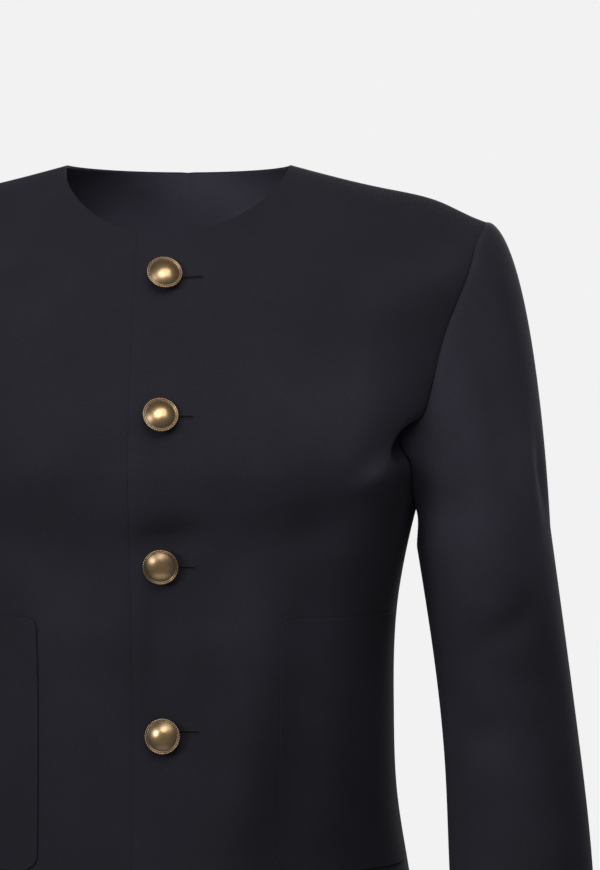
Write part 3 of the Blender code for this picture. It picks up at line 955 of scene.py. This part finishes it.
@dataclass
class ClothPiece:
    """A piece of cloth: a grid laid on a form, given a wall and soft edges."""

    name: str
    node: str
    cut: tuple[float, float]
    columns: int
    rows: int
    cut_share: float = 0.86
    thickness: float = 0.0017
    edge_radius: float = 0.0005
    seam_dip: float = 0.0005
    seam_width: float = 0.0026
    crowding_across: float = 0.55
    crowding_up: float = 0.30
    finish: WoolCloth = WoolCloth()
    # The wrong side is the same wool, 4.2 times lighter: painted light for the inside of the back
    # neck, which the lamps light too little.
    wrong_side_painted_light: WoolCloth = WoolCloth("navy_wool_inside_painted_light", 4.2)

    def lay(
        self,
        place: Callable[[Array, Array], tuple[Array, Array]],
        closed: bool = False,
        mirrored: bool = False,
    ) -> bpy.types.Object:
        """Lays the grid.

        Args:
            place: Gives points and normals for shares across and up the piece.
            closed: Whether the piece's first and last columns are the same line.
            mirrored: Whether the result is turned to the wearer's other side.

        Returns:
            The finished piece.
        """
        mesh = bmesh.new()
        cloth = mesh.loops.layers.uv.new("cloth")
        painted_light = mesh.verts.layers.float.new("painted_light")
        bmesh.ops.create_grid(
            mesh, x_segments=self.columns, y_segments=self.rows, size=0.5, calc_uvs=True
        )
        mesh.verts.ensure_lookup_table()
        shares = np.array([vertex.co[:2] for vertex in mesh.verts]) + 0.5
        points, _ = place(shares[:, 0], shares[:, 1])
        # Painted light and shade: the patches' gains, kept at each point and multiplied into the
        # cloth's colour.
        painted_gains = np.prod([patch.at(points) for patch in PAINTED_LIGHT_PATCHES], axis=0)
        if mirrored:
            points = points * np.array([-1.0, 1.0, 1.0])
        for face in mesh.faces:
            for loop in face.loops:
                across, up = loop[cloth].uv
                loop[cloth].uv = (across * self.cut[0], up * self.cut[1])
        for vertex, point, lightness in zip(mesh.verts, points, painted_gains):
            vertex.co = point
            vertex[painted_light] = lightness
        if closed:
            bmesh.ops.remove_doubles(mesh, verts=mesh.verts[:], dist=SAME_POINT)
        bmesh.ops.recalc_face_normals(mesh, faces=mesh.faces[:])
        self.face_outwards(mesh)
        item = placed(self.name, mesh, self.finish.material())
        item.data.materials.append(self.wrong_side_painted_light.material())
        wall = item.modifiers.new("wall", "SOLIDIFY")
        wall.thickness = self.thickness
        wall.offset = -1.0
        wall.material_offset = 1
        soft = item.modifiers.new("soft_edges", "BEVEL")
        soft.width = self.edge_radius
        soft.segments = 2
        soft.limit_method = "ANGLE"
        soft.angle_limit = math.radians(55.0)
        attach(item, "root")
        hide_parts(self.node)
        return report(item)

    def face_outwards(self, mesh: bmesh.types.BMesh) -> None:
        """Turns the faces so that they look away from the body's or the sleeve's own axis.

        Args:
            mesh: The piece's mesh.
        """
        middle = Vector((0.0, 0.0, 0.0))
        for vertex in mesh.verts:
            middle += vertex.co
        middle /= len(mesh.verts)
        if not self.name.startswith("sleeve"):
            middle.x, middle.y = 0.0, 0.0
        outwards = 0.0
        for face in mesh.faces:
            away = face.calc_center_median() - middle
            away.z = 0.0
            outwards += face.normal.dot(away) * face.calc_area()
        if outwards < 0:
            bmesh.ops.reverse_faces(mesh, faces=mesh.faces[:])

    def hung(self, item: bpy.types.Object) -> bpy.types.Object:
        return item

    def dip(self, distance: Array) -> Array:
        """How far the cloth sinks at this distance from a sewn seam."""
        return self.seam_dip * bell(distance / self.seam_width)


@dataclass
class Front(ClothPiece):
    """One front, from the lap past the centre line to its side, armhole and shoulder seams."""

    side: Side = Side.LEFT
    layer: Layer = Layer.UPPER
    torso: TorsoForm = field(default_factory=TorsoForm)
    lap_columns: float = 0.12
    edge_press: float = 0.0007
    edge_width: float = 0.0030
    step_rise: float = 0.0013
    step_start: float = 0.0030
    step_width: float = 0.0026
    step_fade: float = 0.022

    def place(self, across: Array, up: Array) -> tuple[Array, Array]:
        """Lays the front.

        Args:
            across: Shares across from the edge that laps.
            up: Shares up from the hem.

        Returns:
            The points and the normals there.
        """
        across = closer_at_ends(across, self.crowding_across)
        station = NECKLINE * closer_at_ends(up, self.crowding_up)
        share = np.clip((across - self.lap_columns) / (1 - self.lap_columns), 0.0, 1.0)
        outer = self.torso.outer_station(station)
        here = station + (outer - station) * share**2
        lap = self.torso.angle_at_x(self.torso.lap, here)
        end = self.torso.angle_at_y(self.torso.seam_y(outer, False), outer)
        past = np.clip(across / self.lap_columns, 0.0, 1.0)
        angle = np.where(past < 1.0, lap * (2 * past - 1), lap + (end - lap) * share)
        angle = angle * self.side.value
        points = self.torso.point(angle, here)
        normals = self.torso.normal(angle, here)
        points = points + normals * self.torso.lap_shift(points[..., 0], self.layer)[..., None]
        seam = self.torso.point(end * self.side.value, outer)
        sunk = self.dip(np.linalg.norm(points - seam, axis=-1))
        from_edge = points[..., 0] * self.side.value + self.torso.lap
        sunk = sunk + self.layer.value * self.edge_press * bell(from_edge / self.edge_width)
        if self.layer is Layer.LOWER:
            beyond = points[..., 0] * self.side.value - self.torso.lap
            risen = fade((beyond + self.step_start) / self.step_width)
            sunk = sunk - self.step_rise * risen * (1 - fade(beyond / self.step_fade))
        points = points - normals * sunk[..., None]
        return pressed(points, normals, TORSO_CREASES), normals

    def build(self) -> bpy.types.Object:
        """Makes the front."""
        item = self.lay(self.place)
        return self.hung(item)


@dataclass
class Back(ClothPiece):
    """One half of the back, from the centre back seam."""

    side: Side = Side.LEFT
    torso: TorsoForm = field(default_factory=TorsoForm)

    def place(self, across: Array, up: Array) -> tuple[Array, Array]:
        """Lays the half back.

        Args:
            across: Shares across from the centre back.
            up: Shares up from the hem.

        Returns:
            The points and the normals there.
        """
        share = closer_at_ends(across, self.crowding_across)
        station = NECKLINE * closer_at_ends(up, self.crowding_up)
        outer = self.torso.outer_station(station)
        here = station + (outer - station) * share**2
        centre = math.pi + self.torso.seam_lap / self.torso.columns.at(here)[3]
        end = self.torso.angle_at_y(self.torso.seam_y(outer, True), outer)
        angle = (centre + (end - centre) * share) * self.side.value
        points = self.torso.point(angle, here)
        normals = self.torso.normal(angle, here)
        seam = self.torso.point(end * self.side.value, outer)
        sunk = self.dip(np.linalg.norm(points - seam, axis=-1))
        sunk = sunk + self.dip(np.abs(points[..., 0]))
        points = points - normals * sunk[..., None]
        return pressed(points, normals, TORSO_CREASES), normals

    def build(self) -> bpy.types.Object:
        """Makes the half back."""
        item = self.lay(self.place)
        return self.hung(item)


@dataclass
class Sleeve(ClothPiece):
    """A set-in sleeve, from the armhole seam to the cuff."""

    side: Side = Side.LEFT
    form: SleeveForm = field(default_factory=lambda: SleeveForm(TorsoForm()))

    def build(self) -> bpy.types.Object:
        """Makes the sleeve.

        Returns:
            The finished sheet.
        """
        head = round(self.rows * self.form.head_share)
        rings = self.form.rings(self.columns, head, self.rows - head)
        ahead = np.roll(rings, -1, axis=1) - np.roll(rings, 1, axis=1)
        normals = unit(np.cross(np.gradient(rings, axis=0), ahead))
        outward = rings - rings.mean(axis=1, keepdims=True)
        normals = normals * np.sign((normals * outward).sum(axis=-1).mean())
        rings = pressed(rings, normals, SLEEVE_CREASES)
        from_seam = np.linalg.norm(rings - rings[:1], axis=-1)
        rings = rings - normals * self.dip(from_seam)[..., None]

        def place(across: Array, up: Array) -> tuple[Array, Array]:
            """Finds the grid's points on the rings.

            Args:
                across: Shares of the way round the sleeve.
                up: Shares up from the cuff.

            Returns:
                The points and the normals there.
            """
            column = np.rint(across * self.columns).astype(int) % self.columns
            row = self.rows - np.rint(up * self.rows).astype(int)
            return rings[row, column], normals[row, column]

        item = self.lay(place, closed=True, mirrored=self.side is Side.RIGHT)
        return self.hung(item)


@dataclass
class Pocket(ClothPiece):
    """A patch pocket lying on a front."""

    side: Side = Side.LEFT
    layer: Layer = Layer.UPPER
    torso: TorsoForm = field(default_factory=TorsoForm)
    top: float = -0.278
    bottom: float = -0.433
    inner_x: float = 0.0765
    outer_y: float = -0.008
    gap: float = 0.0002
    top_radius: float = 0.005
    bottom_radius: float = 0.012
    crowding: float = 0.70

    def place(self, across: Array, up: Array) -> tuple[Array, Array]:
        """Lays the pocket.

        Args:
            across: Shares across from the edge nearest the centre.
            up: Shares up from the bottom.

        Returns:
            The points and the normals there.
        """
        across = closer_at_ends(across, self.crowding)
        up = closer_at_ends(up, self.crowding)
        height, width = self.top - self.bottom, self.cut[0]
        for radius, from_edge in (
            (self.top_radius, (1 - up) * height),
            (self.bottom_radius, up * height),
        ):
            short = np.clip(radius - from_edge, 0.0, radius)
            inset = radius - np.sqrt(np.maximum(radius**2 - short**2, 0.0))
            across = 0.5 + (across - 0.5) * (1 - 2 * inset / width)
        low, high = (self.torso.station_at_height(z) for z in (self.bottom, self.top))
        station = low + (high - low) * up
        inner = self.torso.angle_at_x(self.inner_x, station)
        outer = self.torso.angle_at_y(self.outer_y, station)
        angle = (inner + (outer - inner) * across) * self.side.value
        points = self.torso.point(angle, station)
        normals = self.torso.normal(angle, station)
        points = points + normals * self.torso.lap_shift(points[..., 0], self.layer)[..., None]
        points = pressed(points, normals, TORSO_CREASES)
        return points + normals * (self.gap + self.thickness), normals

    def build(self) -> bpy.types.Object:
        """Makes the pocket.

        Returns:
            The finished sheet.
        """
        item = self.lay(self.place)
        return item


BUTTON_RIM = (
    (0.930, 0.00, 0.20),
    (0.985, 0.25, 0.50),
    (1.000, 0.55, 0.60),
    (0.988, 0.84, 0.70),
    (0.963, 1.00, 0.75),
    (0.935, 0.96, 0.65),
    (0.915, 0.80, 0.25),
    (0.902, 0.64, 0.00),
    (0.890, 0.70, 0.25),
    (0.872, 0.86, 0.65),
    (0.852, 0.86, 0.60),
    (0.834, 0.68, 0.15),
    (0.818, 0.54, 0.00),
)


@dataclass
class Button:
    """A domed metal button with a milled rim and a thin ring inside it.

    BUTTON_RIM runs from the rim's lower edge to the groove at the dome's foot, as shares of the
    radius and of the rim's height, and the wear there.
    """

    name: str
    x: float
    z: float
    lean_left: float
    lean_up: float
    torso: TorsoForm
    radius: float = 0.0110
    clear: float = 0.0004
    foot_radius: float = 0.0014
    shank_radius: float = 0.0026
    shank_height: float = 0.0030
    shank_widening: float = 0.6
    shank_wear: float = 0.2
    rim_height: float = 0.0016
    dome_share: float = 0.80
    dome_foot: float = 0.60
    dome_rise: float = 0.0024
    dome_roundness: float = 2.2
    dome_edge_wear: float = 0.20
    dome_wear_growth: float = 1.25
    dome_steps: int = 15
    ridges: int = 44
    steps_per_ridge: int = 6
    ridge_start: float = 0.89
    ridge_fade: float = 0.04
    ridge_depth: float = 0.017
    ridge_drop: float = 0.00012
    ridge_wear: float = 0.55
    finish: AgedBrass = AgedBrass()

    def profile(self) -> list[tuple[float, float, float]]:
        """The button's half section.

        Returns:
            Radius, height and wear, from the foot to the top. Wear is 1 on bright metal.
        """
        line = [
            (0.0, 0.0, self.shank_wear),
            (self.foot_radius, 0.0, self.shank_wear),
            (self.shank_radius, self.shank_widening * self.shank_height, self.shank_wear),
            (self.shank_radius, self.shank_height, self.shank_wear / 2),
        ]
        for reach, height, worn in BUTTON_RIM:
            line.append((reach * self.radius, self.shank_height + height * self.rim_height, worn))
        base = self.shank_height + self.dome_foot * self.rim_height
        rise = self.shank_height + self.rim_height + self.dome_rise - base
        for share in np.linspace(1.0, 0.0, self.dome_steps):
            height = base + rise * (1 - share**self.dome_roundness)
            worn = min(1.0, self.dome_edge_wear + self.dome_wear_growth * (1 - share))
            line.append((self.dome_share * self.radius * share, height, worn))
        return line

    def build(self) -> bpy.types.Object:
        """Makes the button.

        Returns:
            The button, on its place on the front.
        """
        mesh = bmesh.new()
        wear = mesh.verts.layers.float.new("wear")
        points = []
        for radius, height, worn in self.profile():
            vertex = mesh.verts.new((radius, 0.0, height))
            vertex[wear] = worn
            points.append(vertex)
        edges = [mesh.edges.new(pair) for pair in zip(points, points[1:])]
        bmesh.ops.spin(
            mesh,
            geom=points + edges,
            axis=(0.0, 0.0, 1.0),
            cent=(0.0, 0.0, 0.0),
            steps=self.ridges * self.steps_per_ridge,
            angle=2 * math.pi,
            use_merge=True,
        )
        bmesh.ops.remove_doubles(mesh, verts=mesh.verts[:], dist=SAME_POINT)
        bmesh.ops.recalc_face_normals(mesh, faces=mesh.faces[:])
        for vertex in mesh.verts:
            reach = math.hypot(vertex.co.x, vertex.co.y) / self.radius
            if reach > self.ridge_start and vertex.co.z > self.shank_height:
                turn = self.ridges * math.atan2(vertex.co.y, vertex.co.x)
                valley = 0.5 - 0.5 * math.cos(turn)
                depth = self.ridge_depth * min(1.0, (reach - self.ridge_start) / self.ridge_fade)
                vertex.co.xy *= 1 - depth * valley
                vertex.co.z -= self.ridge_drop * valley
                vertex[wear] *= self.ridge_wear + (1 - self.ridge_wear) * (1 - valley)
        lean = math.radians(math.hypot(self.lean_left, self.lean_up))
        lift = self.clear + self.foot_radius * math.sin(lean)
        foot, normal = self.torso.on_front(self.x, self.z, lift)
        upright = Vector((0.0, 0.0, 1.0)).rotation_difference(Vector(normal))
        lean_left = Matrix.Rotation(math.radians(self.lean_left), 4, "Z")
        lean_up = Matrix.Rotation(math.radians(-self.lean_up), 4, "X")
        stand = Matrix.Translation(foot) @ lean_left @ lean_up @ upright.to_matrix().to_4x4()
        bmesh.ops.transform(mesh, matrix=stand, verts=mesh.verts[:])
        item = placed(f"{self.name}_metal", mesh, self.finish.material())
        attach(item, "root")
        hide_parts(self.name)
        return report(item)


@dataclass
class Buttonhole:
    """A worked buttonhole: a slit with close stitches round it, lying across the front, and a flat
    sheet painted dark as the slit's shadow.
    """

    name: str
    x_end: float
    z: float
    torso: TorsoForm
    length: float = 0.026
    half_gap: float = 0.0009
    cord_radius: float = 0.00036
    stitches: int = 58
    sides: int = 8
    steps_per_stitch: int = 4
    stitch_swell: float = 0.22
    cord_lift: float = 0.2
    marks: int = 9
    mark_reach: float = 0.6
    slit_points: int = 40
    slit_lift: float = 0.00015
    thread: SilkThread = SilkThread()
    # Not thread: a painted shadow for the slit, laid as a dark sheet.
    shadow: SilkThread = SilkThread("slit_shadow", (0.005, 0.005, 0.006), 0.9, 0.0)

    def on_cloth(self, across: Array, up: Array, lift: Array) -> Array:
        """Points over the front.

        Args:
            across: Distances from the middle of the slit.
            up: Distances above its line.
            lift: Heights above the cloth.

        Returns:
            The points.
        """
        marks = np.linspace(-self.mark_reach, self.mark_reach, self.marks) * self.length
        middle = self.x_end - self.length / 2
        found = [self.torso.on_front(middle + mark, self.z, 0.0) for mark in marks]
        bases = np.array([base for base, _ in found])
        normals = np.array([normal for _, normal in found])
        base = np.stack([np.interp(across, marks, bases[:, i]) for i in range(3)], axis=-1)
        normal = np.stack([np.interp(across, marks, normals[:, i]) for i in range(3)], axis=-1)
        rise = unit(np.array([0.0, 0.0, 1.0]) - normal[..., 2:] * normal)
        return base + rise * up[..., None] + normal * lift[..., None]

    def outline(self, run: Array) -> tuple[Array, Array, Array, Array]:
        """The slit's edge, a long loop with round ends.

        Args:
            run: Shares of the way round.

        Returns:
            Places across and up, and the directions out of the slit, across and up.
        """
        straight = self.length - 2 * self.half_gap
        bend = math.pi * self.half_gap
        way = run * 2 * (straight + bend)
        turn = np.clip(way - straight, 0.0, bend) + np.clip(way - 2 * straight - bend, 0.0, bend)
        angle = turn / self.half_gap - math.pi / 2
        forth = np.clip(way, 0.0, straight) - np.clip(way - straight - bend, 0.0, straight)
        out_x, out_y = np.cos(angle), np.sin(angle)
        return forth - straight / 2 + self.half_gap * out_x, self.half_gap * out_y, out_x, out_y

    def build(self) -> None:
        """Makes the ring of stitches, and inside it a flat sheet painted dark as the slit's shadow."""
        steps = self.stitches * self.steps_per_stitch
        mesh = bmesh.new()
        bmesh.ops.create_grid(mesh, x_segments=steps, y_segments=self.sides, size=0.5)
        shares = np.array([vertex.co[:2] for vertex in mesh.verts]) + 0.5
        x, y, out_x, out_y = self.outline(shares[:, 0])
        turn = shares[:, 1] * 2 * math.pi
        swell = self.stitch_swell * np.cos(2 * math.pi * self.stitches * shares[:, 0])
        reach = self.cord_radius * (1 + swell)
        x = x + out_x * reach * np.cos(turn)
        y = y + out_y * reach * np.cos(turn)
        points = self.on_cloth(x, y, reach * np.sin(turn) + self.cord_lift * self.cord_radius)
        for vertex, point in zip(mesh.verts, points):
            vertex.co = point
        bmesh.ops.remove_doubles(mesh, verts=mesh.verts[:], dist=SAME_POINT)
        bmesh.ops.recalc_face_normals(mesh, faces=mesh.faces[:])
        self.keep(placed(self.name, mesh, self.thread.material()))
        # A flat sheet painted dark inside the ring: the slit's painted shadow.
        mesh = bmesh.new()
        bmesh.ops.create_circle(mesh, cap_ends=True, segments=self.slit_points, radius=1.0)
        mesh.verts.ensure_lookup_table()
        x, y, _, _ = self.outline(np.arange(len(mesh.verts)) / len(mesh.verts))
        points = self.on_cloth(x, y, np.full_like(x, self.slit_lift))
        for vertex, point in zip(mesh.verts, points):
            vertex.co = point
        bmesh.ops.recalc_face_normals(mesh, faces=mesh.faces[:])
        self.keep(placed(f"{self.name}_slit", mesh, self.shadow.material()))

    @staticmethod
    def keep(item: bpy.types.Object) -> None:
        """Lets a piece move with the jacket.

        Args:
            item: The piece.
        """
        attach(item, "root")
        report(item)


@dataclass
class Studio:
    """The floor, the lights and the camera."""

    camera_turn: float = math.radians(5.0)
    camera_rise: float = math.radians(2.0)
    distance: float = 3.2
    lens: float = 211.862
    aim: Triple = (0.07654, 0.0, -0.16885)
    floor_z: float = -1.05
    floor_radius: float = 0.62
    light_aim: Triple = (0.05, 0.0, -0.22)
    lights: tuple[tuple[str, Triple, float, float], ...] = (
        ("left_light", (-2.0, -2.1, 0.45), 1.0, 27.5),
        ("front_light", (-0.10, -1.45, 0.85), 0.9, 7.2),
        ("top_light", (0.35, -0.75, 0.65), 0.8, 3.6),
        ("back_light", (0.6, 2.6, 0.7), 1.8, 40.0),
    )
    wall_grey: float = 0.887
    fill: float = 0.16

    def build(self) -> None:
        """Makes the floor, the sky, the lights and the camera."""
        mesh = bmesh.new()
        bmesh.ops.create_circle(mesh, cap_ends=True, segments=96, radius=self.floor_radius)
        bmesh.ops.translate(mesh, vec=(0.0, 0.0, self.floor_z), verts=mesh.verts[:])
        floor = placed("floor", mesh, StudioPaint().material())
        self.sky()
        for name, place, size, power in self.lights:
            self.softbox(name, place, size, power)
        camera = bpy.data.cameras.new("camera")
        camera.lens = self.lens
        camera.sensor_width = 36.0
        camera.clip_start = 0.1
        item = bpy.data.objects.new("camera", camera)
        bpy.context.scene.collection.objects.link(item)
        away = Vector(
            (
                math.sin(self.camera_turn) * math.cos(self.camera_rise),
                -math.cos(self.camera_turn) * math.cos(self.camera_rise),
                math.sin(self.camera_rise),
            )
        )
        item.location = Vector(self.aim) + away * self.distance
        item.rotation_euler = away.to_track_quat("Z", "Y").to_euler()
        bpy.context.scene.camera = item
        bpy.context.scene.view_settings.view_transform = "Standard"

    def sky(self) -> None:
        """A plain pale surround that lights the object more softly than it looks."""
        world = bpy.data.worlds.new("surround")
        bpy.context.scene.world = world
        world.use_nodes = True
        tree = world.node_tree
        shown = tree.nodes["Background"]
        shown.inputs["Color"].default_value = (self.wall_grey,) * 3 + (1.0,)
        lit = tree.nodes.new("ShaderNodeBackground")
        lit.inputs["Color"].default_value = (self.fill,) * 3 + (1.0,)
        rays = tree.nodes.new("ShaderNodeLightPath")
        mix = tree.nodes.new("ShaderNodeMixShader")
        tree.links.new(rays.outputs["Is Camera Ray"], mix.inputs[0])
        tree.links.new(lit.outputs[0], mix.inputs[1])
        tree.links.new(shown.outputs[0], mix.inputs[2])
        tree.links.new(mix.outputs[0], tree.nodes["World Output"].inputs["Surface"])

    def softbox(self, name: str, place: Triple, size: float, power: float) -> None:
        """A square soft light aimed at the front of the jacket.

        Args:
            name: The light's name.
            place: Where it stands.
            size: The length of its side.
            power: In watts.
        """
        light = bpy.data.lights.new(name, "AREA")
        light.size = size
        light.energy = power
        item = bpy.data.objects.new(name, light)
        bpy.context.scene.collection.objects.link(item)
        item.location = place
        aim = Vector(place) - Vector(self.light_aim)
        item.rotation_euler = aim.to_track_quat("Z", "Y").to_euler()


@dataclass
class Jacket:
    """The whole jacket."""

    torso: TorsoForm = field(default_factory=TorsoForm)
    buttons: tuple[tuple[str, float, float, float, float], ...] = (
        ("button_1", 0.0010, -0.0697, 14.5, 9.0),
        ("button_2", 0.0022, -0.1546, 14.5, 10.0),
        ("button_3", 0.0018, -0.2440, 3.0, 0.0),
        ("button_4", 0.0018, -0.3490, -3.0, 3.0),
        ("button_5", 0.0018, -0.4520, 2.0, 2.0),
    )
    buttonholes: tuple[tuple[str, float, float], ...] = (
        ("buttonhole_1", 0.0250, -0.0713),
        ("buttonhole_2", 0.0225, -0.1544),
        ("buttonhole_3", 0.0225, -0.2454),
        ("buttonhole_4", 0.0230, -0.3464),
        ("buttonhole_5", 0.0225, -0.4510),
    )

    front_cut: Pair = (0.245, 0.565)
    back_cut: Pair = (0.215, 0.555)
    sleeve_cut: Pair = (0.36, 0.60)
    pocket_cut: Pair = (0.106, 0.156)
    pockets: tuple[tuple[Side, Layer, str, float, float], ...] = (
        (Side.LEFT, Layer.UPPER, "left", 0.0718, 0.0005),
        (Side.RIGHT, Layer.LOWER, "right", 0.0765, 0.0010),
    )

    def build(self) -> None:
        """Makes every piece in order."""
        body = {"columns": 96, "rows": 220, "torso": self.torso}
        for side, layer, label in (
            (Side.LEFT, Layer.UPPER, "left"),
            (Side.RIGHT, Layer.LOWER, "right"),
        ):
            name = f"front_{label}"
            Front(f"{name}_cloth", name, self.front_cut, side=side, layer=layer, **body).build()
        for side, label in ((Side.LEFT, "left"), (Side.RIGHT, "right")):
            name = f"back_{label}"
            Back(f"{name}_cloth", name, self.back_cut, side=side, **body).build()
        form = SleeveForm(self.torso)
        for side, label in ((Side.LEFT, "left"), (Side.RIGHT, "right")):
            Sleeve(
                f"sleeve_{label}_cloth",
                f"sleeve_{label}",
                self.sleeve_cut,
                columns=128,
                rows=180,
                cut_share=0.84,
                # The sleeves are the same wool, 1.3 times lighter: painted light.
                finish=WoolCloth("navy_wool_sleeve_painted_light", 1.30),
                side=side,
                form=form,
            ).build()
        for side, layer, label, inner_x, thickness in self.pockets:
            Pocket(
                f"pocket_{label}_cloth",
                f"pocket_{label}",
                self.pocket_cut,
                columns=48,
                rows=64,
                thickness=thickness,
                inner_x=inner_x,
                side=side,
                layer=layer,
                torso=self.torso,
            ).build()
        for name, x, z, lean_left, lean_up in self.buttons:
            Button(name, x, z, lean_left, lean_up, self.torso).build()
        for name, x_end, z in self.buttonholes:
            Buttonhole(name, x_end, z, self.torso).build()


def main() -> None:
    """Builds the studio and the jacket."""
    logging.basicConfig(level=logging.INFO, format="%(name)s %(message)s")
    Studio().build()
    Jacket().build()


if __name__ == "__main__":
    main()
